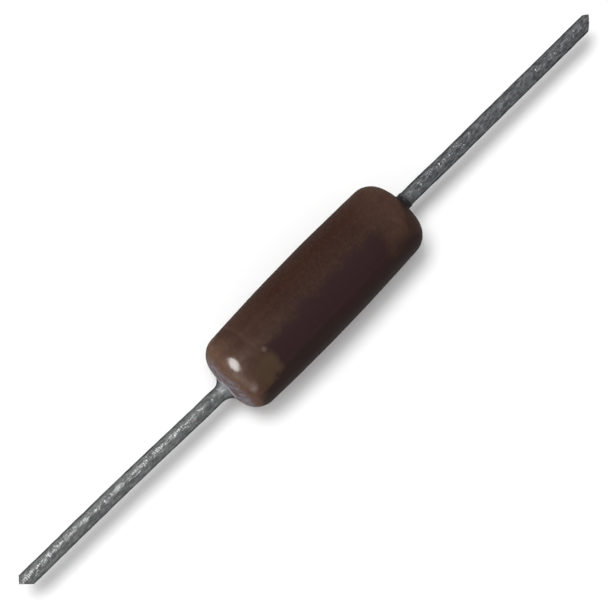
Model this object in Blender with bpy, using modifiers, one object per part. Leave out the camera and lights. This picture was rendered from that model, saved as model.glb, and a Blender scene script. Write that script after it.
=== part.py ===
"""Axial wirewound resistor. A ceramic rod has a metal cap pressed on each end, a resistance wire
runs in a helix from cap to cap, a tinned lead is welded to each cap, and a brown coating
covers everything between the leads.

Units are metres, +Z is up. The body lies along X and rests on Z = 0. The origin is under the
middle of the whole part, halfway between the two lead tips.
"""

import math

import bmesh
import bpy
from mathutils import Vector

MM = 0.001

# Clearance between two pieces that touch on the real part
FIT = 0.02 * MM

# Ceramic rod
CORE_DIAMETER = 3.0 * MM
CORE_LENGTH = 11.5 * MM
CORE_CHAMFER = 0.15 * MM

# Pressed metal cap, a cup over each end of the rod
CAP_WALL = 0.25 * MM
CAP_DEPTH = 2.0 * MM
CAP_CORNER = 0.25 * MM

# Resistance wire, wound at an even pitch and welded to the caps at its two ends
WIRE_DIAMETER = 0.2 * MM
WIRE_TURNS = 18
WIRE_LAP_ON_CAP = 0.5 * MM
WIRE_CLIMB = 0.25 * MM

# Brown coating: its wall over the wire on the caps and over the cap's end face, how much its
# side falls away towards the ends, the rounding of its shoulders, the slope of its end faces.
# The first wall is taken before the side falls away, which leaves about 0.26 mm of it.
COATING_WALL = 0.345 * MM
COATING_END_WALL = 0.75 * MM
COATING_BOW = 0.19 * MM
COATING_SHOULDER_RADIUS = 1.2 * MM
COATING_END_SLOPE = math.radians(13.7)

# Tinned lead with an upset head, which is welded to the cap and flares into the round wire
LEAD_DIAMETER = 0.81 * MM
LEAD_HEAD_DIAMETER = 1.5 * MM
LEAD_HEAD_THICKNESS = 0.3 * MM
LEAD_ROOT_DIAMETER = 1.32 * MM
LEAD_FLARE_LENGTH = 0.52 * MM
LEAD_NECK = 0.3 * MM
LEAD_BEND_LENGTH = 1.2 * MM
LEAD_CUT_ANGLE = math.radians(45.0)

# Each lead's length from the end face, its direction where the bend ends and at its tip, and
# how far the ridge of the cut tip lies to the side of the lead's middle
LEFT_LEAD_LENGTH = 14.65 * MM
LEFT_LEAD_BEND = math.radians(2.3)
LEFT_LEAD_TIP_BEND = math.radians(1.8)
LEFT_TIP_RIDGE = 0.10 * MM
RIGHT_LEAD_LENGTH = 14.65 * MM
RIGHT_LEAD_BEND = math.radians(-1.4)
RIGHT_LEAD_TIP_BEND = math.radians(-1.2)
RIGHT_TIP_RIDGE = 0.22 * MM

# Facets round each turned piece and each lead, and steps along a curved profile
SIDES = 48
LEAD_BEVEL_RESOLUTION = 6
WIRE_BEVEL_RESOLUTION = 1
WIRE_POINTS_PER_TURN = 18
SHOULDER_STEPS = 8
BOW_STEPS = 5
CAP_CORNER_STEPS = 3
FLARE_STEPS = 5
BEND_STEPS = 4
LEAD_STEPS = 12
MERGE = 1e-7

# Radii that follow from the sizes above. The factors keep a many-sided piece clear of a round
# one, since its facets lie nearer to the axis than its corners.
facet_factor = 1 / math.cos(math.pi / SIDES)
chord_factor = 1 / math.cos(math.pi / WIRE_POINTS_PER_TURN)
core_radius = CORE_DIAMETER / 2
cap_bore = core_radius + FIT
cap_radius = cap_bore + CAP_WALL
wire_radius = WIRE_DIAMETER / 2
winding_radius = (core_radius + FIT + wire_radius) * chord_factor
lap_radius = (cap_radius + FIT + wire_radius) * chord_factor
cavity_over_winding = (winding_radius + wire_radius + FIT) * facet_factor
cavity_over_lap = (lap_radius + wire_radius + FIT) * facet_factor
body_radius = cavity_over_lap + COATING_WALL
lead_radius = LEAD_DIAMETER / 2
head_radius = LEAD_HEAD_DIAMETER / 2
root_radius = LEAD_ROOT_DIAMETER / 2

# Distances along the body's axis, from the middle of the body
cap_floor = CORE_LENGTH / 2 + FIT
cap_face = cap_floor + CAP_WALL
cap_rim = cap_face - CAP_DEPTH
lap_end = cap_rim + WIRE_LAP_ON_CAP
climb_start = cap_rim - FIT - wire_radius - WIRE_CLIMB
body_end = cap_face + COATING_END_WALL
bow_radius = (body_end**2 + COATING_BOW**2) / (2 * COATING_BOW)
body_centre_x = (LEFT_LEAD_LENGTH - RIGHT_LEAD_LENGTH) / 2


def make_material(name, colour, roughness, metallic):
    material = bpy.data.materials.new(name)
    material.use_nodes = True
    shader = material.node_tree.nodes["Principled BSDF"]
    shader.inputs["Base Color"].default_value = (*colour, 1)
    shader.inputs["Roughness"].default_value = roughness
    shader.inputs["Metallic"].default_value = metallic
    return material


def make_object(name, data, material, axis, collection):
    """A new object whose own Z runs along the body's axis."""
    obj = bpy.data.objects.new(name, data)
    data.materials.append(material)
    collection.objects.link(obj)
    obj.parent = axis
    return obj


def turned(name, outline, closed, material, axis, collection):
    """A solid of revolution. The outline is (distance along the axis, radius) points, and its
    outer side runs from the far end to the near one. An open one starts and ends on the axis."""
    mesh = bpy.data.meshes.new(name)
    points = [(radius, 0, along) for along, radius in outline]
    edges = [(i, i + 1) for i in range(len(points) - 1)]
    if closed:
        edges.append((len(points) - 1, 0))
    mesh.from_pydata(points, edges, [])
    obj = make_object(name, mesh, material, axis, collection)
    # Half a facet's turn, so that a flat facet faces down and not an edge
    obj.rotation_euler.z = math.pi / SIDES
    screw = obj.modifiers.new("turn", "SCREW")
    screw.steps = screw.render_steps = SIDES
    screw.use_merge_vertices = True
    screw.merge_threshold = MERGE
    return obj


def arc(centre, radius, start, end, steps):
    """Points of an arc, as (distance along the axis, radius). Angle 0 points along the axis."""
    angles = [start + (end - start) * i / steps for i in range(steps + 1)]
    return [
        (centre[0] + radius * math.cos(a), centre[1] + radius * math.sin(a))
        for a in angles
    ]


def mirrored(points):
    """The points' mirror image at the other end of the body, in the order that goes on."""
    return [(-along, radius) for along, radius in reversed(points)]


def core_outline():
    half_length = CORE_LENGTH / 2
    right_half = [
        (half_length, 0),
        (half_length, core_radius - CORE_CHAMFER),
        (half_length - CORE_CHAMFER, core_radius),
    ]
    return right_half + mirrored(right_half)


def cap_outline():
    """The right-hand cup: over its end face, along its skirt, and back inside to its floor."""
    corner = (cap_face - CAP_CORNER, cap_radius - CAP_CORNER)
    return [
        (cap_face, 0),
        *arc(corner, CAP_CORNER, 0, math.pi / 2, CAP_CORNER_STEPS),
        (cap_rim, cap_radius),
        (cap_rim, cap_bore),
        (cap_floor, cap_bore),
        (cap_floor, 0),
    ]


def shoulder_centre():
    """Centre of the shoulder's arc, which touches the sloping end face and the bowed side."""
    along, out = math.cos(COATING_END_SLOPE), math.sin(COATING_END_SLOPE)
    bow_centre = body_radius - bow_radius
    # How far the centre lies from the bow's centre, square to the end face and along it
    face = body_end * along + (root_radius + FIT - bow_centre) * out
    square = face - COATING_SHOULDER_RADIUS
    level = math.sqrt((bow_radius - COATING_SHOULDER_RADIUS) ** 2 - square**2)
    return square * along - level * out, bow_centre + square * out + level * along


def coating_outline():
    """The outside from the right-hand lead's hole to the left-hand one, and the cavity back."""
    centre = shoulder_centre()
    bow_centre = (0, body_radius - bow_radius)
    join = math.atan2(centre[1] - bow_centre[1], centre[0])
    right_end = [
        (body_end, root_radius + FIT),
        *arc(centre, COATING_SHOULDER_RADIUS, COATING_END_SLOPE, join, SHOULDER_STEPS),
    ]
    side = arc(bow_centre, bow_radius, join, math.pi - join, BOW_STEPS)[1:-1]
    step = climb_start - wire_radius - FIT
    past_lap = lap_end + wire_radius + FIT
    right_cavity = [
        (step, cavity_over_winding),
        (step, cavity_over_lap),
        (past_lap, cavity_over_lap),
        (past_lap, cap_radius + FIT),
        (cap_face + FIT, cap_radius + FIT),
        (cap_face + FIT, head_radius + FIT),
        (cap_face + FIT + LEAD_HEAD_THICKNESS, head_radius + FIT),
    ]
    return right_end + side + mirrored(right_end) + mirrored(right_cavity) + right_cavity


def smooth_step(share):
    share = min(max(share, 0), 1)
    return share * share * (3 - 2 * share)


def wire_points():
    """The helix from cap to cap. Before each rim it climbs from the rod to the cap's skirt."""
    count = WIRE_TURNS * WIRE_POINTS_PER_TURN
    points = []
    for i in range(count + 1):
        along = lap_end * (2 * i / count - 1)
        share = smooth_step((abs(along) - climb_start) / WIRE_CLIMB)
        radius = winding_radius + (lap_radius - winding_radius) * share
        angle = 2 * math.pi * i / WIRE_POINTS_PER_TURN
        points.append((radius * math.cos(angle), radius * math.sin(angle), along))
    return points


def lead_sideways(distance, length, bend, tip_bend):
    """How far the lead's middle is off the body's axis, at a distance from the end face."""
    past = distance - LEAD_FLARE_LENGTH - LEAD_NECK
    if past <= 0:
        return 0
    bent = min(past, LEAD_BEND_LENGTH)
    straight = past - bent
    full = length - LEAD_FLARE_LENGTH - LEAD_NECK - LEAD_BEND_LENGTH
    slope = math.tan(bend)
    change = (math.tan(tip_bend) - slope) * straight / (2 * full)
    return slope * bent**2 / (2 * LEAD_BEND_LENGTH) + (slope + change) * straight


def lead_stations(length):
    """(distance from the end face, radius) from the lead's head to just past its tip."""
    head = cap_face + FIT - body_end
    stations = [(head, head_radius), (head + LEAD_HEAD_THICKNESS, head_radius)]
    for i in range(FLARE_STEPS + 1):
        share = i / FLARE_STEPS
        flare = (root_radius - lead_radius) * (1 - share) ** 2
        stations.append((LEAD_FLARE_LENGTH * share, lead_radius + flare))
    bend_start = LEAD_FLARE_LENGTH + LEAD_NECK
    bend_end = bend_start + LEAD_BEND_LENGTH
    past_tip = length + LEAD_DIAMETER
    for i in range(BEND_STEPS):
        stations.append((bend_start + LEAD_BEND_LENGTH * i / BEND_STEPS, lead_radius))
    for i in range(LEAD_STEPS + 1):
        stations.append((bend_end + (past_tip - bend_end) * i / LEAD_STEPS, lead_radius))
    return stations


def make_curve(name, points, radii, bevel_depth, bevel_resolution):
    """A tube through the points, whose radii are shares of its bevel depth."""
    curve = bpy.data.curves.new(name, "CURVE")
    curve.dimensions = "3D"
    curve.bevel_depth = bevel_depth
    curve.bevel_resolution = bevel_resolution
    curve.use_fill_caps = True
    spline = curve.splines.new("POLY")
    spline.points.add(len(points) - 1)
    for target, point, radius in zip(spline.points, points, radii):
        target.co = (*point, 1)
        target.radius = radius
    return curve


def cut_tip(mesh, side, ridge):
    """Cuts the lead as side cutters leave it: two flat faces that meet in an upright ridge."""
    rod = bmesh.new()
    rod.from_mesh(mesh)
    bmesh.ops.remove_doubles(rod, verts=rod.verts, dist=MERGE)
    for hand in (-1, 1):
        normal = (0, hand * math.sin(LEAD_CUT_ANGLE), side * math.cos(LEAD_CUT_ANGLE))
        bmesh.ops.bisect_plane(
            rod,
            geom=rod.verts[:] + rod.edges[:] + rod.faces[:],
            dist=MERGE,
            plane_co=ridge,
            plane_no=normal,
            clear_outer=True,
        )
        bmesh.ops.holes_fill(rod, edges=[edge for edge in rod.edges if edge.is_boundary])
    bmesh.ops.recalc_face_normals(rod, faces=rod.faces)
    rod.to_mesh(mesh)
    rod.free()
    mesh.shade_smooth()
    mesh.set_sharp_from_angle(angle=math.radians(35))


def make_lead(name, side, length, bend, tip_bend, ridge_offset, material, axis, collection):
    """One lead, on the side of the body that side gives: 1 for the right, -1 for the left."""
    stations = lead_stations(length)
    points = [
        (0, lead_sideways(distance, length, bend, tip_bend), side * (body_end + distance))
        for distance, _ in stations
    ]
    radii = [radius / lead_radius for _, radius in stations]
    curve = make_curve(name, points, radii, lead_radius, LEAD_BEVEL_RESOLUTION)
    tube = make_object(name + "_tube", curve, material, axis, collection)
    bpy.context.view_layer.update()
    graph = bpy.context.evaluated_depsgraph_get()
    mesh = bpy.data.meshes.new_from_object(tube.evaluated_get(graph))
    place = tube.matrix_world.copy()
    bpy.data.objects.remove(tube)
    middle = lead_sideways(length, length, bend, tip_bend)
    ridge = Vector((0, middle + ridge_offset, side * (body_end + length)))
    cut_tip(mesh, side, ridge)
    lead = bpy.data.objects.new(name, mesh)
    collection.objects.link(lead)
    lead.matrix_world = place


def main():
    for obj in list(bpy.data.objects):
        bpy.data.objects.remove(obj)
    collection = bpy.data.collections.new("wirewound_resistor")
    bpy.context.scene.collection.children.link(collection)

    ceramic = make_material("ceramic", (0.78, 0.75, 0.68), 0.6, 0.0)
    cap_metal = make_material("cap_metal", (0.55, 0.55, 0.53), 0.35, 1.0)
    wire_metal = make_material("resistance_alloy", (0.45, 0.36, 0.28), 0.35, 1.0)
    brown = make_material("brown_coating", (0.055, 0.028, 0.020), 0.3, 0.0)
    tinned = make_material("tinned_lead", (0.36, 0.37, 0.38), 0.45, 1.0)

    # The body's axis: its Z runs along +X, at the height that rests the coating on Z = 0
    axis = bpy.data.objects.new("body_axis", None)
    collection.objects.link(axis)
    widest = max(radius for _, radius in coating_outline())
    axis.location = (body_centre_x, 0, widest / facet_factor)
    axis.rotation_euler.y = math.pi / 2

    turned("ceramic_core", core_outline(), False, ceramic, axis, collection)
    turned("end_cap_right", cap_outline(), False, cap_metal, axis, collection)
    left_cap = turned("end_cap_left", cap_outline(), False, cap_metal, axis, collection)
    left_cap.rotation_euler.x = math.pi
    turned("coating", coating_outline(), True, brown, axis, collection)

    points = wire_points()
    radii = [1] * len(points)
    wire = make_curve("resistance_wire", points, radii, wire_radius, WIRE_BEVEL_RESOLUTION)
    make_object("resistance_wire", wire, wire_metal, axis, collection)

    make_lead(
        "lead_left", -1, LEFT_LEAD_LENGTH, LEFT_LEAD_BEND, LEFT_LEAD_TIP_BEND,
        LEFT_TIP_RIDGE, tinned, axis, collection,
    )
    make_lead(
        "lead_right", 1, RIGHT_LEAD_LENGTH, RIGHT_LEAD_BEND, RIGHT_LEAD_TIP_BEND,
        RIGHT_TIP_RIDGE, tinned, axis, collection,
    )


main()
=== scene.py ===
"""Looks of the axial wirewound resistor: a dark brown coated body with two tinned leads, lying
on a white sweep and seen from above. Units are metres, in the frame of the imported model."""

import math

import bmesh
import bpy
from mathutils import Matrix, Vector, noise


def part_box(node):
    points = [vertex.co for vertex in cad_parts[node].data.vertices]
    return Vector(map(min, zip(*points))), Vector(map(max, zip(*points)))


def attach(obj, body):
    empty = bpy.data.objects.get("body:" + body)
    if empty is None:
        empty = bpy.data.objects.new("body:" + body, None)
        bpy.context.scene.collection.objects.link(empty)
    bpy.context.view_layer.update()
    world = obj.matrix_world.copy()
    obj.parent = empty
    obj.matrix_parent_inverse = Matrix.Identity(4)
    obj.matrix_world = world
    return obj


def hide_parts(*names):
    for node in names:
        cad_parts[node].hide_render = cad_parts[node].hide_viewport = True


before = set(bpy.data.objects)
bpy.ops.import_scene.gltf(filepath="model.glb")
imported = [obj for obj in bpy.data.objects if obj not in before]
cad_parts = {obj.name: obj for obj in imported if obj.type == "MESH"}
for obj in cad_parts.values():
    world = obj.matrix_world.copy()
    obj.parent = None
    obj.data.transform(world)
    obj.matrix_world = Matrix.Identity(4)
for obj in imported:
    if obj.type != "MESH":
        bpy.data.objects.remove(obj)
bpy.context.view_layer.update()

MM = 0.001

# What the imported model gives
coating_low, coating_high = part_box("coating")
left_low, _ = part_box("lead_left")
right_low, right_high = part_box("lead_right")
wire_low, wire_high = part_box("resistance_wire")
cap_low, cap_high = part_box("end_cap_right")
core_low, core_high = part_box("ceramic_core")
body_centre = (coating_low + coating_high) / 2
body_radius = (coating_high.z - coating_low.z) / 2
body_end = (coating_high.x - coating_low.x) / 2
head_radius = (right_high.z - right_low.z) / 2
head_start = right_low.x - body_centre.x
lap_radius = (wire_high.z - wire_low.z) / 2
lap_end = wire_high.x - body_centre.x
cap_radius = (cap_high.z - cap_low.z) / 2
cap_face = cap_high.x - body_centre.x
cap_rim = cap_low.x - body_centre.x
core_radius = (core_high.z - core_low.z) / 2

# Clearance between two pieces that touch on the real part
GAP = 0.02 * MM

# The winding, as the solids have it: where the wire starts to climb from the rod to the cap,
# and how far its turns stand out from the rod
WIRE_DIAMETER = 0.2 * MM
CLIMB_LENGTH = 0.37 * MM
WINDING_HEIGHT = 0.25 * MM

# The coating, as the solids have it
COATING_BOW = 0.19 * MM
SHOULDER_RADIUS = 1.2 * MM
END_SLOPE = math.radians(13.7)
FACE_INNER_RADIUS = 0.68 * MM

# The leads, as the solids have them, and the tin that stands out from their wire. The radius
# and the sideways shift of each root, how far along the lead the shift fades out, and the
# lead's slight bow follow the photograph.
LEAD_RADIUS = 0.405 * MM
TIN_WALL = 0.028 * MM
HEAD_THICKNESS = 0.3 * MM
FLARE_LENGTH = 0.52 * MM
BEND_START = 0.82 * MM
BEND_LENGTH = 1.2 * MM
CUT_ANGLE = math.radians(45)
LEADS = {
    "left": {
        "side": -1,
        "length": coating_low.x - left_low.x,
        "bend": math.radians(2.3),
        "tip_bend": math.radians(1.8),
        "ridge": 0.10 * MM,
        "root_radius": 0.66 * MM,
        "root_shift": -0.08 * MM,
        "shift_fades": 1.0 * MM,
        "bow": 0.03 * MM,
    },
    "right": {
        "side": 1,
        "length": right_high.x - coating_high.x,
        "bend": math.radians(-1.4),
        "tip_bend": math.radians(-1.2),
        "ridge": 0.22 * MM,
        "root_radius": 0.435 * MM,
        "root_shift": 0.05 * MM,
        "shift_fades": 4.0 * MM,
        "bow": 0.01 * MM,
    },
}

# The coating's raised lip round the left-hand lead. It leans in over the hole's edge, and a
# shallow valley lies behind it.
LIP_HEIGHT = 0.05 * MM
LIP_RADIUS = 0.045 * MM
LIP_LEAN = 0.03 * MM
VALLEY_REACH = 2.2 * LIP_RADIUS
VALLEY_WIDTH = 0.4 * LIP_RADIUS
VALLEY_DEPTH = 0.012 * MM

# The coating's thin film that climbs the right-hand lead. It tapers to a nose, its edge is
# ragged, and a fillet joins it to the end face.
FILM_LENGTH = 0.42 * MM
FILM_WALL = 0.032 * MM
FILM_GAP = 0.010 * MM
FILM_FILLET = 0.16 * MM
FILM_NOSE_LENGTH = 0.4 * FILM_WALL
FILM_NOSE_WALL = 0.5 * FILM_WALL
FILM_TAPER = 2 * FILM_WALL
FILM_RAGGED = 0.9
RAGGED_SCALE = 2
RAGGED_OFFSET = 5

# How uneven the dipped coating is: slow lumps, finer ripples, and end faces that lean a little.
# All of it fades out towards the leads, between two radii. The lean starts and is full at two
# shares of the body's half length.
LUMP_HEIGHT = 0.014 * MM
LUMP_SIZE = 2.4 * MM
RIPPLE_HEIGHT = 0.0025 * MM
RIPPLE_SIZE = 0.7 * MM
RIPPLE_OFFSET = Vector((7, 3, 1))
EVEN_RADIUS = 0.55 * MM
UNEVEN_RADIUS = 0.9 * MM
END_LEAN = 0.04 * MM
LEAN_START = 0.6
LEAN_FULL = 0.95

# How uneven the tin on the leads is: long ridges and dents. The tin starts behind the end
# face and is full just past it.
TIN_HEIGHT = 0.010 * MM
TIN_LENGTH = 0.40 * MM
TIN_WIDTH = 0.16 * MM
TIN_START = -0.2 * MM
TIN_FULL = 0.1 * MM

SEGMENTS = 192
PROFILE_STEP = 0.08 * MM
LEAD_SIDES = 64
LEAD_STEP = 0.05 * MM
SHARP_ANGLE = math.radians(35)
MERGE = 1e-7


def smooth_step(low, high, value):
    share = min(max((value - low) / (high - low), 0), 1)
    return share * share * (3 - 2 * share)


def arc(centre, radius, start, end):
    """Points of an arc, as (distance along the axis, radius). Angle 0 points along the axis."""
    steps = max(2, round(abs(end - start) * radius / PROFILE_STEP))
    angles = [start + (end - start) * i / steps for i in range(steps + 1)]
    return [
        (centre[0] + radius * math.cos(a), centre[1] + radius * math.sin(a))
        for a in angles
    ]


def line(start, end):
    """Evenly spaced points between two, both left out."""
    steps = max(1, round(math.dist(start, end) / PROFILE_STEP))
    return [
        (
            start[0] + (end[0] - start[0]) * i / steps,
            start[1] + (end[1] - start[1]) * i / steps,
        )
        for i in range(1, steps)
    ]


def mirrored(points):
    """The points' mirror image at the other end of the body, in the order that goes on."""
    return [(-along, radius) for along, radius in reversed(points)]


def circle(count):
    """(y, z) of points round a unit circle, evenly spaced from its top."""
    angles = [2 * math.pi * i / count for i in range(count)]
    return [(math.sin(angle), math.cos(angle)) for angle in angles]


def make_object(name, mesh):
    obj = bpy.data.objects.new(name, mesh)
    bpy.context.scene.collection.objects.link(obj)
    return obj


def skin_rings(name, rings, closed):
    """A mesh over rings of points. It closes on itself, or else has a flat cap at each end."""
    shell = bmesh.new()
    loops = [[shell.verts.new(point) for point in ring] for ring in rings]
    pairs = list(zip(loops, loops[1:]))
    if closed:
        pairs.append((loops[-1], loops[0]))
    for near, far in pairs:
        for i in range(len(near)):
            j = (i + 1) % len(near)
            shell.faces.new((near[i], near[j], far[j], far[i]))
    if not closed:
        shell.faces.new(loops[0][::-1])
        shell.faces.new(loops[-1])
    bmesh.ops.recalc_face_normals(shell, faces=shell.faces)
    mesh = bpy.data.meshes.new(name)
    shell.to_mesh(mesh)
    shell.free()
    return mesh


# Coating

def shoulder():
    """The bowed side's circle and the shoulder's centre, as in the solids."""
    bow_radius = (body_end**2 + COATING_BOW**2) / (2 * COATING_BOW)
    along, out = math.cos(END_SLOPE), math.sin(END_SLOPE)
    bow_centre = body_radius - bow_radius
    face = body_end * along + (FACE_INNER_RADIUS - bow_centre) * out
    square = face - SHOULDER_RADIUS
    level = math.sqrt((bow_radius - SHOULDER_RADIUS) ** 2 - square**2)
    centre = (square * along - level * out, bow_centre + square * out + level * along)
    return bow_radius, bow_centre, centre


def face_point(radius):
    """The point of the sloping end face at a radius."""
    return body_end - (radius - FACE_INNER_RADIUS) * math.tan(END_SLOPE), radius


def film_end():
    """Right-hand end: from the film's thin edge down into a fillet on the end face."""
    inner = LEAD_RADIUS + TIN_WALL + FILM_GAP
    outer = LEAD_RADIUS + TIN_WALL + FILM_WALL
    tip = body_end + FILM_LENGTH
    level = outer + FILM_FILLET
    foot = face_point(level)[0] + FILM_FILLET / math.cos(END_SLOPE)
    edge = [(tip, inner), (tip - FILM_NOSE_LENGTH, inner + FILM_NOSE_WALL)]
    start = (tip - FILM_TAPER, outer)
    fillet = arc((foot, level), FILM_FILLET, -math.pi / 2, -math.pi + END_SLOPE)
    return edge + [start] + line(start, fillet[0]) + fillet


def lip_end():
    """Left-hand end, seen as a right-hand one: a rounded lip round the lead's flare."""
    crest = (body_end + LIP_HEIGHT - LIP_RADIUS, FACE_INNER_RADIUS + LIP_RADIUS - LIP_LEAN)
    lip = arc(crest, LIP_RADIUS, -math.pi / 2, math.pi / 2)
    behind = face_point(crest[1] + VALLEY_REACH)
    return lip + [(behind[0] - VALLEY_DEPTH, behind[1] - VALLEY_WIDTH)]


def coating_outside():
    """The outside, from the film's edge on the right-hand lead to the lip on the left."""
    bow_radius, bow_centre, centre = shoulder()
    join = math.atan2(centre[1] - bow_centre, centre[0])
    side = arc((0, bow_centre), bow_radius, join, math.pi - join)[1:-1]
    ends = []
    for edge in (film_end(), lip_end()):
        round_end = arc(centre, SHOULDER_RADIUS, END_SLOPE, join)
        ends.append(edge + line(edge[-1], round_end[0]) + round_end)
    return ends[0] + side + mirrored(ends[1])


def coating_inside():
    """The cavity, from the left-hand lead's hole back to the right-hand one."""
    over_winding = core_radius + WINDING_HEIGHT + GAP
    over_lap = lap_radius + GAP
    step = cap_rim - CLIMB_LENGTH - WIRE_DIAMETER / 2 - GAP
    half = [
        (step, over_winding),
        (step, over_lap),
        (lap_end + GAP, over_lap),
        (lap_end + GAP, cap_radius + GAP),
        (cap_face + GAP, cap_radius + GAP),
        (cap_face + GAP, head_radius + GAP),
        (head_start + HEAD_THICKNESS, head_radius + GAP),
    ]
    left = [*half, (body_end, LEADS["left"]["root_radius"] + TIN_WALL + GAP)]
    right = [*half, (body_end, LEADS["right"]["root_radius"] + TIN_WALL + GAP)]
    return mirrored(left) + right


def root_shift(distance, lead):
    """How far the lead's root sits off the body's axis."""
    inside = smooth_step(head_start + HEAD_THICKNESS - body_end, 0, distance)
    return lead["root_shift"] * inside * (1 - smooth_step(0, lead["shift_fades"], distance))


def ring_shift(along, radius):
    """How far a ring of the coating sits off the body's axis, near a lead's root."""
    if abs(along) <= cap_face:
        return 0
    lead = LEADS["left" if along < 0 else "right"]
    shift = root_shift(abs(along) - body_end, lead)
    return shift * (1 - smooth_step(head_radius, 2 * head_radius, radius))


def outward(profile, number):
    """The direction straight out of a profile at one of its points."""
    before = profile[max(number - 1, 0)]
    after = profile[min(number + 1, len(profile) - 1)]
    tangent = Vector((after[0] - before[0], after[1] - before[1])).normalized()
    return tangent.y, -tangent.x


def made_uneven(along, radius, out, y, z):
    """A point of the outside, moved by the lumps, the ripples and the lean of its end face, and
    less so near the leads."""
    share = smooth_step(EVEN_RADIUS, UNEVEN_RADIUS, radius)
    lean = END_LEAN * smooth_step(LEAN_START, LEAN_FULL, abs(along) / body_end)
    place = Vector((along, radius * y, radius * z))
    lump = LUMP_HEIGHT * noise.noise(place / LUMP_SIZE)
    ripple = RIPPLE_HEIGHT * noise.noise(place / RIPPLE_SIZE + RIPPLE_OFFSET)
    grow = share * (lump + ripple)
    shift = out[0] * grow - math.copysign(lean, along) * y * share
    return along + shift, radius + out[1] * grow


def make_coating():
    outside = coating_outside()
    rings = []
    for number, (along, radius) in enumerate(outside + coating_inside()):
        out = outward(outside, number) if number < len(outside) else None
        sideways = ring_shift(along, radius)
        ring = []
        for y, z in circle(SEGMENTS):
            a, r = along, radius
            if out:
                a, r = made_uneven(along, radius, out, y, z)
            if along > body_end:
                edge = noise.noise(Vector((RAGGED_SCALE * y, RAGGED_SCALE * z, RAGGED_OFFSET)))
                a += (along - body_end) * FILM_RAGGED * edge
            point = body_centre + Vector((a, sideways + r * y, r * z))
            point.z = max(point.z, 0)
            ring.append(point)
        rings.append(ring)
    mesh = skin_rings("coating_skin", rings, True)
    mesh.shade_smooth()
    return make_object("coating_skin", mesh)


# Leads

def lead_sideways(distance, lead):
    """How far the lead's middle is off the body's axis, at a distance from the end face."""
    past = distance - BEND_START
    if past <= 0:
        return 0
    bent = min(past, BEND_LENGTH)
    straight = past - bent
    full = lead["length"] - BEND_START - BEND_LENGTH
    slope = math.tan(lead["bend"])
    change = (math.tan(lead["tip_bend"]) - slope) * straight / (2 * full)
    return slope * bent**2 / (2 * BEND_LENGTH) + (slope + change) * straight


def lead_radius(distance, lead):
    """The radius of the head's neck, of the flare, and of the wire past it."""
    neck_start = head_start + HEAD_THICKNESS - body_end
    if distance < 0:
        share = distance / neck_start
        return lead["root_radius"] + (head_radius - lead["root_radius"]) * share
    share = min(distance / FLARE_LENGTH, 1)
    return LEAD_RADIUS + (lead["root_radius"] - LEAD_RADIUS) * (1 - share) ** 2


def lead_stations(lead):
    """(distance from the end face, radius) from the lead's head to just past its tip."""
    head = head_start - body_end
    neck = head + HEAD_THICKNESS
    past_tip = lead["length"] + 2 * LEAD_RADIUS
    steps = round((past_tip - neck) / LEAD_STEP)
    stations = [(head, head_radius)]
    for i in range(steps + 1):
        distance = neck + (past_tip - neck) * i / steps
        stations.append((distance, lead_radius(distance, lead)))
    return stations


def cut_tip(mesh, lead):
    """Cuts the wire as side cutters leave it: two flat faces that meet in an upright ridge."""
    side = lead["side"]
    middle = lead_sideways(lead["length"], lead) + lead["ridge"]
    ridge = body_centre + Vector((side * (body_end + lead["length"]), middle, 0))
    rod = bmesh.new()
    rod.from_mesh(mesh)
    for hand in (-1, 1):
        bmesh.ops.bisect_plane(
            rod,
            geom=rod.verts[:] + rod.edges[:] + rod.faces[:],
            dist=MERGE,
            plane_co=ridge,
            plane_no=(side * math.cos(CUT_ANGLE), hand * math.sin(CUT_ANGLE), 0),
            clear_outer=True,
        )
        bmesh.ops.holes_fill(rod, edges=[edge for edge in rod.edges if edge.is_boundary])
    bmesh.ops.recalc_face_normals(rod, faces=rod.faces)
    rod.to_mesh(mesh)
    rod.free()


def make_lead(name, lead):
    side = lead["side"]
    rings = []
    for distance, radius in lead_stations(lead):
        x = side * (body_end + distance)
        sideways = lead_sideways(distance, lead) + root_shift(distance, lead)
        sideways += lead["bow"] * math.sin(math.pi * smooth_step(0, lead["length"], distance))
        share = smooth_step(TIN_START, TIN_FULL, distance)
        ring = []
        for y, z in circle(LEAD_SIDES):
            place = Vector((x / TIN_LENGTH, radius * y / TIN_WIDTH, radius * z / TIN_WIDTH))
            r = radius + share * (TIN_WALL + TIN_HEIGHT * noise.noise(place))
            ring.append(body_centre + Vector((x, sideways + r * y, r * z)))
        rings.append(ring)
    mesh = skin_rings(name, rings, False)
    cut_tip(mesh, lead)
    mesh.shade_smooth()
    mesh.set_sharp_from_angle(angle=SHARP_ANGLE)
    return make_object(name, mesh)


# Material nodes

def add_node(tree, kind, inputs, **settings):
    """A node with its settings, and each input set to a value or linked to a socket."""
    node = tree.nodes.new(kind)
    for key, value in settings.items():
        setattr(node, key, value)
    for key, value in inputs.items():
        if isinstance(value, bpy.types.NodeSocket):
            tree.links.new(value, node.inputs[key])
        else:
            node.inputs[key].default_value = value
    return node


def in_millimetres(tree, scale=(1, 1, 1)):
    """Object coordinates as millimetres, each multiplied by its scale."""
    place = add_node(tree, "ShaderNodeTexCoord", {})
    factors = tuple(factor / MM for factor in scale)
    mapping = add_node(
        tree, "ShaderNodeMapping", {"Vector": place.outputs["Object"], "Scale": factors}
    )
    return mapping.outputs["Vector"]


def axes_of(tree, vector):
    return add_node(tree, "ShaderNodeSeparateXYZ", {"Vector": vector}).outputs


def noise_of(tree, vector, scale, detail, roughness=0.5):
    node = add_node(
        tree,
        "ShaderNodeTexNoise",
        {"Vector": vector, "Scale": scale, "Detail": detail, "Roughness": roughness},
    )
    return node.outputs["Fac"]


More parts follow.
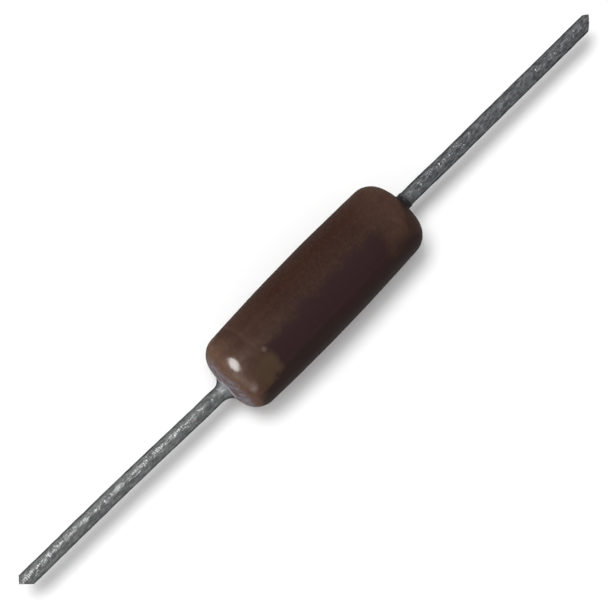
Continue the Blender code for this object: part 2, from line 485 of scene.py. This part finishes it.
def remap(tree, value, low, high, to_low=0.0, to_high=1.0, kind="SMOOTHSTEP"):
    """Turns the values between low and high into ones between to_low and to_high."""
    node = add_node(
        tree,
        "ShaderNodeMapRange",
        {"Value": value, "From Min": low, "From Max": high, "To Min": to_low, "To Max": to_high},
        interpolation_type=kind,
    )
    return node.outputs["Result"]


def math_of(tree, operation, first, second):
    node = add_node(tree, "ShaderNodeMath", {0: first, 1: second}, operation=operation)
    return node.outputs["Value"]


def product(tree, value, *factors):
    for factor in factors:
        value = math_of(tree, "MULTIPLY", value, factor)
    return value


def highest(tree, value, *others):
    for other in others:
        value = math_of(tree, "MAXIMUM", value, other)
    return value


def mix_colour(tree, share, first, second):
    node = tree.nodes.new("ShaderNodeMix")
    node.data_type = "RGBA"
    for key, value in (("Factor_Float", share), ("A_Color", first), ("B_Color", second)):
        socket = next(s for s in node.inputs if s.identifier == key)
        if isinstance(value, bpy.types.NodeSocket):
            tree.links.new(value, socket)
        elif key == "Factor_Float":
            socket.default_value = value
        else:
            socket.default_value = (*value, 1)
    return next(s for s in node.outputs if s.identifier == "Result_Color")


def bump_of(tree, height, distance, before=None):
    inputs = {"Height": height, "Distance": distance, "Strength": 1.0}
    if before:
        inputs["Normal"] = before
    return add_node(tree, "ShaderNodeBump", inputs).outputs["Normal"]


def new_material(name, **values):
    """A material, its nodes and its shader, with values on the shader's own sockets."""
    material = bpy.data.materials.new(name)
    material.use_nodes = True
    shader = material.node_tree.nodes["Principled BSDF"]
    for key, value in values.items():
        shader.inputs[key.replace("_", " ")].default_value = value
    return material, material.node_tree, shader


def link(tree, shader, **sockets):
    for key, socket in sockets.items():
        tree.links.new(socket, shader.inputs[key.replace("_", " ")])


# The values below describe the materials. A NOISE is (features per millimetre, detail,
# roughness). LEVELS are the arguments of remap: between which values of a noise something
# changes, and from what to what. A zone is the same along or across the body, in millimetres
# from the body's middle or in height above the floor.

BROWN = (0.0410, 0.0170, 0.0106)
BROWN_DARK = (0.0295, 0.0119, 0.0078)
MAROON = (0.0272, 0.0105, 0.0110)
# Painted shade, for the dark flank and the shade towards the right-hand end
SHADE_BROWN = (0.0225, 0.0118, 0.0100)
OLIVE = (0.0650, 0.0375, 0.0205)
# Painted sheen at the ends, and a painted highlight in the streak near the left-hand end
TAN_HIGHLIGHT = (0.112, 0.0620, 0.0420)
# Pale: a painted faint highlight on the left shoulder, and the colour of a small speck
GLINT_AND_SPECK_COLOUR = (0.25, 0.19, 0.175)
# The film's near-black is partly painted shade
FILM_AND_SHADE_COLOUR = (0.018, 0.017, 0.017)
FILM_THIN = (0.085, 0.087, 0.090)
# A painted reflection on the left-hand end face
END_REFLECTION_COLOUR = (0.200, 0.190, 0.220)
# A painted highlight along the lip round the left-hand lead
LIP_HIGHLIGHT_COLOUR = (0.30, 0.28, 0.31)

# The coating's mottle, and how far the zones' edges wander in millimetres. Some of them
# wander by only a share of that.
MOTTLE_NOISE = (5.0, 4, 0.7)
MOTTLE_LEVELS = (0.35, 0.65)
WANDER_NOISE = (0.8, 3)
WANDER_LEVELS = (0.3, 0.7, -0.4, 0.4)
SMALL_WANDER = 0.3

# Painted sheen that makes the ends paler, unevenly
SHEEN_LEFT = (-4.2, -6.6)
SHEEN_FAINT = (-1.6, -4.4, 0.0, 0.2)
SHEEN_RIGHT = (3.5, 6.6, 0.0, 0.38)
SHEEN_BREAKUP_NOISE = (2.2, 4, 0.65)
SHEEN_BREAKUP_LEVELS = (0.3, 0.7, 0.65, 1.25)

# A painted highlight of a faint ridge: a soft, broken paler streak across the body near the
# left-hand end
RIDGE_HIGHLIGHT = -4.5
RIDGE_HIGHLIGHT_WIDTH = 0.17
RIDGE_HIGHLIGHT_SHARE = 0.22
RIDGE_HIGHLIGHT_ACROSS = (-0.3, 0.4)
PATCH_NOISE = (3.5, 3, 0.6)
RIDGE_HIGHLIGHT_LEVELS = (0.35, 0.6, 0.4, 1.0)

# The stain on the near side, and the painted shade of the dark flank beside it. Both fade out
# low on the body. On the right, a painted shade like the flank's rises towards the end.
STAINED_HEIGHT = (0.9, 2.1)
STAIN_ACROSS = (0.35, -0.15)
STAIN_LEFT = (-4.3, -3.9)
STAIN_RIGHT = (4.9, 3.9)
FLANK_ACROSS = (-1.3, -1.8)
FLANK_LEFT = (-6.3, -5.5)
SHADE_LEFT = (3.8, 4.8)
SHADE_ACROSS = (-1.0, -1.9, 0.0, 0.6)
SHADE_RISE = 0.5
SHADE_END_START = 5.6
SHADE_END_RISE = 1.9

# Small spots near the left-hand end: an olive one, a pale painted highlight on the shoulder's
# near side, and a pale speck
OLIVE_SPOT = {"centre": (-4.75, -1.15, 4.4), "radius": 1.15, "blur": 0.5, "share": 0.8}
SHOULDER_GLINT_SPOT = {"centre": (-6.05, -1.17, 4.35), "radius": 0.50, "blur": 0.35, "share": 0.65}
SPECK_SPOT = {"centre": (-4.23, -0.06, 4.73), "radius": 0.22, "blur": 0.2, "share": 0.28}

# The painted reflection on the left-hand end face, the painted highlight on its lip, and the
# dark film at the right-hand end, whose near-black is partly painted shade and which thins out
# at its edge. All are measured inwards from the end of the body, or from the film's edge.
END_REFLECTION_DEPTH = 0.50
END_REFLECTION_SHARE = 0.9
END_REFLECTION_LEVELS = (0.36, 0.6, 0.3, 1.05)
LIP_STARTS = 0.01
LIP_IS_FULL = -0.02
FILM_DEPTH = 0.50
FILM_FADE = 0.22

# The coating's orange peel and grain, its roughness, and how its gloss layer fades where the
# surface is seen edge on
PEEL_NOISE = (3.0, 3)
PEEL_HEIGHT = 0.012 * MM
GRAIN_NOISE = (11.0, 3, 0.6)
GRAIN_HEIGHT = 0.003 * MM
COAT_GRAIN_HEIGHT = 0.005 * MM
COAT_ROUGHNESS = 0.18
COAT_FADE = (0.07, 0.26, 1.0, 0.11)
SATIN_NOISE = (1.3, 4)
SATIN_LEVELS = (0.3, 0.7, 0.42, 0.54)


def spot_share(tree, place, spot, wander):
    """Share of a spot round a place, its edge blurred and made to wander."""
    offset = add_node(
        tree, "ShaderNodeVectorMath", {0: place, 1: spot["centre"]}, operation="DISTANCE"
    )
    reach = math_of(tree, "ADD", offset.outputs["Value"], wander)
    return remap(tree, reach, spot["radius"], spot["radius"] - spot["blur"], 0.0, spot["share"])


def sheen_share(tree, place, x):
    """Share of tan, a painted sheen: at both ends, and faintly over much of the left half."""
    pale = highest(
        tree,
        remap(tree, x, *SHEEN_LEFT),
        remap(tree, x, *SHEEN_FAINT),
        remap(tree, x, *SHEEN_RIGHT),
    )
    sheen_breakup = remap(tree, noise_of(tree, place, *SHEEN_BREAKUP_NOISE), *SHEEN_BREAKUP_LEVELS, "LINEAR")
    return product(tree, pale, sheen_breakup)


def ridge_highlight_share(tree, inward, y, patches):
    """Share of a painted highlight: a soft, broken streak across the body."""
    offset = math_of(tree, "SUBTRACT", inward, RIDGE_HIGHLIGHT)
    squared = product(tree, offset, offset)
    streak = remap(tree, squared, RIDGE_HIGHLIGHT_WIDTH**2, 0.0, 0.0, RIDGE_HIGHLIGHT_SHARE)
    across = remap(tree, y, *RIDGE_HIGHLIGHT_ACROSS)
    return product(tree, streak, across, remap(tree, patches, *RIDGE_HIGHLIGHT_LEVELS))


def shade_share(tree, along, x, y, upper):
    """Share of the shade that rises from the flank towards the right-hand end."""
    end = body_end / MM
    rise = remap(tree, along, *SHADE_LEFT, 0.0, SHADE_RISE)
    end_rise = remap(tree, along, SHADE_END_START, end, 0.0, SHADE_END_RISE, "LINEAR")
    below = math_of(tree, "SUBTRACT", y, math_of(tree, "ADD", rise, end_rise))
    shade = remap(tree, below, *SHADE_ACROSS)
    return product(tree, shade, upper, remap(tree, x, *SHADE_LEFT))


def coating_colour(tree, place):
    """Mottled brown, made paler at its ends by a painted sheen. Near the left-hand end it has
    spots, one of them a painted highlight, and a streak that is a painted highlight. The near
    side has a stain and a dark flank of painted shade. At the leads are a painted reflection on
    the end face, a painted highlight on the lip and a dark film that is partly painted shade."""
    end = body_end / MM
    film_edge = end + FILM_LENGTH / MM
    axes = axes_of(tree, place)
    wander = remap(tree, noise_of(tree, place, *WANDER_NOISE), *WANDER_LEVELS, "LINEAR")
    small_wander = product(tree, wander, SMALL_WANDER)
    x = math_of(tree, "ADD", axes["X"], wander)
    y = math_of(tree, "ADD", axes["Y"], wander)
    inward = math_of(tree, "ADD", axes["X"], small_wander)
    upper = remap(tree, axes["Z"], *STAINED_HEIGHT)
    mottle = noise_of(tree, place, *MOTTLE_NOISE)
    patches = noise_of(tree, place, *PATCH_NOISE)
    stain = product(
        tree,
        remap(tree, y, *STAIN_ACROSS),
        upper,
        remap(tree, inward, *STAIN_LEFT),
        remap(tree, x, *STAIN_RIGHT),
    )
    # Painted shade on the near side's flank
    flank = product(
        tree, remap(tree, y, *FLANK_ACROSS), upper, remap(tree, x, *FLANK_LEFT)
    )
    # A painted reflection on the left-hand end face, broken into patches
    end_reflection = remap(tree, inward, END_REFLECTION_DEPTH - end, -end, 0.0, END_REFLECTION_SHARE)
    end_reflection = product(tree, end_reflection, remap(tree, patches, *END_REFLECTION_LEVELS))

    colour = mix_colour(tree, remap(tree, mottle, *MOTTLE_LEVELS), BROWN, BROWN_DARK)
    # Several of these layers are painted light or shade: the sheen at the ends, the highlights
    # on the shoulder, the streak and the lip, the reflection on the end face, and the shade on
    # the flank, towards the right-hand end and partly in the film
    layers = (
        (sheen_share(tree, place, x), TAN_HIGHLIGHT),
        (spot_share(tree, place, OLIVE_SPOT, small_wander), OLIVE),
        (spot_share(tree, place, SHOULDER_GLINT_SPOT, small_wander), GLINT_AND_SPECK_COLOUR),
        (ridge_highlight_share(tree, inward, y, patches), TAN_HIGHLIGHT),
        (stain, MAROON),
        (spot_share(tree, place, SPECK_SPOT, 0.0), GLINT_AND_SPECK_COLOUR),
        (flank, SHADE_BROWN),
        (shade_share(tree, axes["X"], x, y, upper), SHADE_BROWN),
        (end_reflection, END_REFLECTION_COLOUR),
        (remap(tree, axes["X"], LIP_STARTS - end, LIP_IS_FULL - end), LIP_HIGHLIGHT_COLOUR),
        (remap(tree, inward, end - FILM_DEPTH, end), FILM_AND_SHADE_COLOUR),
        (remap(tree, inward, film_edge - FILM_FADE, film_edge), FILM_THIN),
    )
    for share, layer in layers:
        colour = mix_colour(tree, share, colour, layer)
    return colour


def coating_material():
    """Satin coating with a faint orange peel. Its gloss fades where it is seen edge on."""
    material, tree, shader = new_material(
        "brown_coating",
        Coat_Roughness=COAT_ROUGHNESS,
        Coat_IOR=1.5,
        Specular_IOR_Level=0.0,
    )
    place = in_millimetres(tree)
    facing = add_node(tree, "ShaderNodeLayerWeight", {"Blend": 0.5}).outputs["Facing"]
    grain = noise_of(tree, place, *GRAIN_NOISE)
    peel = bump_of(tree, noise_of(tree, place, *PEEL_NOISE), PEEL_HEIGHT)
    link(
        tree,
        shader,
        Base_Color=coating_colour(tree, place),
        Coat_Weight=remap(tree, facing, *COAT_FADE),
        Roughness=remap(tree, noise_of(tree, place, *SATIN_NOISE), *SATIN_LEVELS),
        Normal=bump_of(tree, grain, GRAIN_HEIGHT, peel),
        Coat_Normal=bump_of(tree, grain, COAT_GRAIN_HEIGHT, peel),
    )
    return material


TIN = (0.55, 0.57, 0.565)
TIN_DARK = (0.28, 0.30, 0.30)
TIN_BLUE = (0.46, 0.480, 0.495)
TIN_BLUE_DARK = (0.17, 0.181, 0.192)
TIN_STAIN = (0.30, 0.22, 0.18)
OXIDE_TINT = (0.5, 0.5, 0.5, 1)

# The tin's blotches, stretched along the wire, and its brownish stains
STREAK_SCALE = (0.45, 1, 1)
BLOTCH_NOISE = (6.0, 5, 0.8)
BLOTCH_LEVELS = (0.38, 0.62)
TIN_STAIN_NOISE = (3.0, 3)
TIN_STAIN_LEVELS = (0.58, 0.70, 0.0, 0.4)

# Blisters, which are also smoother than the rest, and ripples round the wire
BLISTER_NOISE = (6.5, 3)
BLISTER_LEVELS = (0.50, 0.66)
BLISTER_HEIGHT = 0.020 * MM
BLISTER_ROUGHNESS = (0, 1, 0.27, 0.20)
TIN_RIPPLE_SCALE = (1, 0.25, 0.25)
TIN_RIPPLE_NOISE = (16.0, 1)
TIN_RIPPLE_HEIGHT = 0.048 * MM

# Along the leads: where the tin turns from the left-hand lead's tone to the right-hand one's,
# where the left-hand lead's ripples calm down, what share of them the right-hand lead gets
# back, and how dull the roots are
LEFT_TO_RIGHT = (-6.0, 6.0)
CALM_LEVELS = (-9.5, -8.2, 1.0, 0.4)
RIGHT_RIPPLE_SHARE = 0.25
DULL_ROOT = (7.9, 7.4, 0.0, 0.6)
DULL_ROUGHNESS = 0.35


def tin_material():
    """Tin with ripples that catch the light, blotched along the wire under a grey oxide."""
    material, tree, shader = new_material(
        "tinned_lead",
        Metallic=0.6,
        Specular_IOR_Level=0.0,
        Specular_Tint=(0, 0, 0, 1),
        Coat_Weight=1.0,
        Coat_IOR=1.02,
        Coat_Tint=OXIDE_TINT,
    )
    place = in_millimetres(tree)
    streaked = in_millimetres(tree, STREAK_SCALE)
    along = axes_of(tree, place)["X"]
    dull = remap(tree, math_of(tree, "ABSOLUTE", along, 0.0), *DULL_ROOT)

    blotches = remap(tree, noise_of(tree, streaked, *BLOTCH_NOISE), *BLOTCH_LEVELS)
    left = mix_colour(tree, blotches, TIN, TIN_DARK)
    right = mix_colour(tree, blotches, TIN_BLUE, TIN_BLUE_DARK)
    colour = mix_colour(tree, remap(tree, along, *LEFT_TO_RIGHT), left, right)
    colour = mix_colour(tree, dull, colour, TIN_DARK)
    stained = remap(tree, noise_of(tree, place, *TIN_STAIN_NOISE), *TIN_STAIN_LEVELS)

    blisters = remap(tree, noise_of(tree, streaked, *BLISTER_NOISE), *BLISTER_LEVELS)
    calm = remap(tree, along, *CALM_LEVELS)
    given_back = remap(tree, along, *LEFT_TO_RIGHT, 0.0, RIGHT_RIPPLE_SHARE)
    ripples = noise_of(tree, in_millimetres(tree, TIN_RIPPLE_SCALE), *TIN_RIPPLE_NOISE)
    ripples = product(tree, ripples, math_of(tree, "ADD", calm, given_back))
    bump = bump_of(tree, blisters, BLISTER_HEIGHT)

    roughness = remap(tree, blisters, *BLISTER_ROUGHNESS)
    roughness = math_of(tree, "ADD", roughness, product(tree, dull, DULL_ROUGHNESS))
    link(
        tree,
        shader,
        Base_Color=mix_colour(tree, stained, colour, TIN_STAIN),
        Roughness=roughness,
        Normal=bump_of(tree, ripples, TIN_RIPPLE_HEIGHT, bump),
    )
    return material


CERAMIC = (0.78, 0.75, 0.68)
CERAMIC_SPECKLE = (0.66, 0.62, 0.54)
SPECKLE_NOISE = (6.0, 4, 0.7)
SPECKLE_LEVELS = (0.45, 0.75)
SPECKLE_ROUGHNESS = (0, 1, 0.62, 0.75)
CERAMIC_GRAIN_NOISE = (14.0, 3)
CERAMIC_GRAIN_HEIGHT = 0.006 * MM

# Pressed steel with draw marks along the cup's axis, and drawn nickel-chrome wire under a thin
# brownish oxide
CAP_STEEL = {
    "scale": (0.15, 1, 1),
    "noise": (9.0, 4, 0.6),
    "colours": ((0.50, 0.50, 0.48), (0.60, 0.60, 0.58)),
    "bump": 0.003 * MM,
    "roughness": (0.3, 0.7, 0.28, 0.42),
}
ALLOY = {
    "scale": (3, 1, 1),
    "noise": (4.0, 3),
    "colours": ((0.48, 0.40, 0.32), (0.36, 0.28, 0.22)),
    "bump": 0.002 * MM,
    "roughness": (0.3, 0.7, 0.3, 0.45),
}


def ceramic_material():
    """Unglazed ceramic, finely speckled."""
    material, tree, shader = new_material("ceramic")
    place = in_millimetres(tree)
    speckle = remap(tree, noise_of(tree, place, *SPECKLE_NOISE), *SPECKLE_LEVELS)
    grain = noise_of(tree, place, *CERAMIC_GRAIN_NOISE)
    link(
        tree,
        shader,
        Base_Color=mix_colour(tree, speckle, CERAMIC, CERAMIC_SPECKLE),
        Roughness=remap(tree, speckle, *SPECKLE_ROUGHNESS),
        Normal=bump_of(tree, grain, CERAMIC_GRAIN_HEIGHT),
    )
    return material


def metal_material(name, metal):
    """Bare metal, whose colour, bump and roughness follow one noise."""
    material, tree, shader = new_material(name, Metallic=1.0)
    marks = noise_of(tree, in_millimetres(tree, metal["scale"]), *metal["noise"])
    link(
        tree,
        shader,
        Base_Color=mix_colour(tree, marks, *metal["colours"]),
        Roughness=remap(tree, marks, *metal["roughness"]),
        Normal=bump_of(tree, marks, metal["bump"]),
    )
    return material


# Studio

CAMERA_ELEVATION = math.radians(80.3)
CAMERA_ROLL = math.radians(45.91)
CAMERA_DISTANCE = 130 * MM
CAMERA_TARGET = Vector((-0.55 * MM, 0.220 * MM, body_centre.z))
CAMERA_CLIP = (0.005, 50)
FRAME_WIDTH = 31.92 * MM
SENSOR_WIDTH = 36

LAMP_DISTANCE = 4.0
# Each lamp's tilt towards the body's far side, lean towards its left-hand end, and angles
# along and across, in degrees, and its radiance. The key and the wide fill light the scene,
# and the strip is what the gloss shows.
KEY = {"tilt": 19.5, "lean": 5, "along": 22, "across": 18, "radiance": 15.8}
FILL = {"tilt": 10, "lean": 5, "along": 40, "across": 38, "radiance": 2.75}
STRIP = {"tilt": 29, "lean": 33, "along": 42, "across": 36, "radiance": 13.5}

# The world's brightness by direction: low down and overhead, between two heights, and what
# the wall on the left adds to it
SKY_TOP = 0.19
SKY_LOW = 1.0
HORIZON_TOP = 0.12
CEILING_START = 0.5
WALL_LEVELS = (-0.95, -0.45, 0.9, 0.0)

FLOOR_SEEN = 0.95
FLOOR_BOUNCE = 0.75
FLOOR_GLOW = 0.04
FLOOR_SIZE = 1.0
WHITE = (1, 1, 1, 1)


def make_camera():
    """Looks down at the body from its left-hand end, rolled as the photograph is."""
    lean, rise = math.cos(CAMERA_ELEVATION), math.sin(CAMERA_ELEVATION)
    forward = Vector((lean, 0, -rise))
    along = Vector((rise, 0, lean))
    across = Vector((0, 1, 0))
    right = math.cos(CAMERA_ROLL) * along - math.sin(CAMERA_ROLL) * across
    up = math.sin(CAMERA_ROLL) * along + math.cos(CAMERA_ROLL) * across
    data = bpy.data.cameras.new("camera")
    data.sensor_width = SENSOR_WIDTH
    data.lens = SENSOR_WIDTH * CAMERA_DISTANCE / FRAME_WIDTH
    data.clip_start, data.clip_end = CAMERA_CLIP
    camera = bpy.data.objects.new("camera", data)
    camera.location = CAMERA_TARGET - CAMERA_DISTANCE * forward
    camera.rotation_euler = Matrix((right, up, -forward)).transposed().to_euler()
    bpy.context.scene.collection.objects.link(camera)
    bpy.context.scene.camera = camera


def make_lamp(name, lamp):
    """An ellipse of light that faces the body from LAMP_DISTANCE, in line with the body."""
    tilt, lean = math.radians(lamp["tilt"]), math.radians(lamp["lean"])
    upright = Vector((0, math.sin(tilt), math.cos(tilt)))
    leftwards = Vector((-1, 0, 0))
    towards = math.sin(lean) * leftwards + math.cos(lean) * upright
    long_side = math.sin(lean) * upright - math.cos(lean) * leftwards
    short_side = towards.cross(long_side)
    data = bpy.data.lights.new(name, "AREA")
    data.shape = "ELLIPSE"
    data.size = 2 * LAMP_DISTANCE * math.tan(math.radians(lamp["along"]) / 2)
    data.size_y = 2 * LAMP_DISTANCE * math.tan(math.radians(lamp["across"]) / 2)
    # The power that spreads this radiance evenly over the ellipse
    data.energy = lamp["radiance"] * math.pi * (math.pi / 4) * data.size * data.size_y
    obj = bpy.data.objects.new(name, data)
    obj.location = towards * LAMP_DISTANCE
    obj.rotation_euler = Matrix((long_side, short_side, towards)).transposed().to_euler()
    obj.visible_camera = False
    bpy.context.scene.collection.objects.link(obj)
    return obj


def make_world():
    """White from below up to the horizon, a dimmer ceiling, and a bright wall on the left."""
    world = bpy.data.worlds.new("studio")
    world.use_nodes = True
    tree = world.node_tree
    background = tree.nodes["Background"]
    direction = add_node(tree, "ShaderNodeTexCoord", {}).outputs["Generated"]
    axes = axes_of(tree, direction)
    level = remap(tree, axes["Z"], HORIZON_TOP, CEILING_START, SKY_LOW, SKY_TOP)
    level = math_of(tree, "ADD", level, remap(tree, axes["X"], *WALL_LEVELS))
    tree.links.new(level, background.inputs["Strength"])
    background.inputs["Color"].default_value = WHITE
    bpy.context.scene.world = world


def make_floor():
    """A white sweep. Seen directly or in a reflection it is whiter than what it bounces."""
    mesh = bpy.data.meshes.new("floor")
    sheet = bmesh.new()
    bmesh.ops.create_grid(sheet, x_segments=1, y_segments=1, size=FLOOR_SIZE / 2)
    sheet.to_mesh(mesh)
    sheet.free()
    floor = make_object("floor", mesh)
    material, tree, shader = new_material(
        "sweep", Roughness=1.0, Specular_IOR_Level=0.0, Emission_Color=WHITE
    )
    path = add_node(tree, "ShaderNodeLightPath", {}).outputs
    seen = highest(
        tree, path["Is Camera Ray"], path["Is Glossy Ray"], path["Is Transmission Ray"]
    )
    link(
        tree,
        shader,
        Base_Color=mix_colour(tree, seen, (FLOOR_BOUNCE,) * 3, (FLOOR_SEEN,) * 3),
        Emission_Strength=product(tree, seen, FLOOR_GLOW),
    )
    mesh.materials.append(material)


def dress(obj, material, slot, *replaced):
    """Gives a piece its material, hangs it from the root body and hides the CAD nodes that it
    stands for. Its slot is not used.
    """
    obj.data.materials.clear()
    obj.data.materials.append(material)
    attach(obj, "root")
    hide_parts(*replaced)


make_camera()
make_lamp("key", KEY).visible_glossy = False
make_lamp("fill", FILL).visible_glossy = False
make_lamp("strip", STRIP).visible_diffuse = False
make_world()
make_floor()

tin = tin_material()
dress(make_coating(), coating_material(), "brown_coating", "coating")
for side, lead in LEADS.items():
    dress(make_lead("lead_wire_" + side, lead), tin, "tinned_lead", "lead_" + side)

cap_metal = metal_material("cap_metal", CAP_STEEL)
INNER_MATERIALS = {
    "ceramic_core": ceramic_material(),
    "end_cap_left": cap_metal,
    "end_cap_right": cap_metal,
    "resistance_wire": metal_material("resistance_alloy", ALLOY),
}
for node, material in INNER_MATERIALS.items():
    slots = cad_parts[node].data.materials
    slots.clear()
    slots.append(material)

bpy.context.scene.view_settings.view_transform = "Standard"
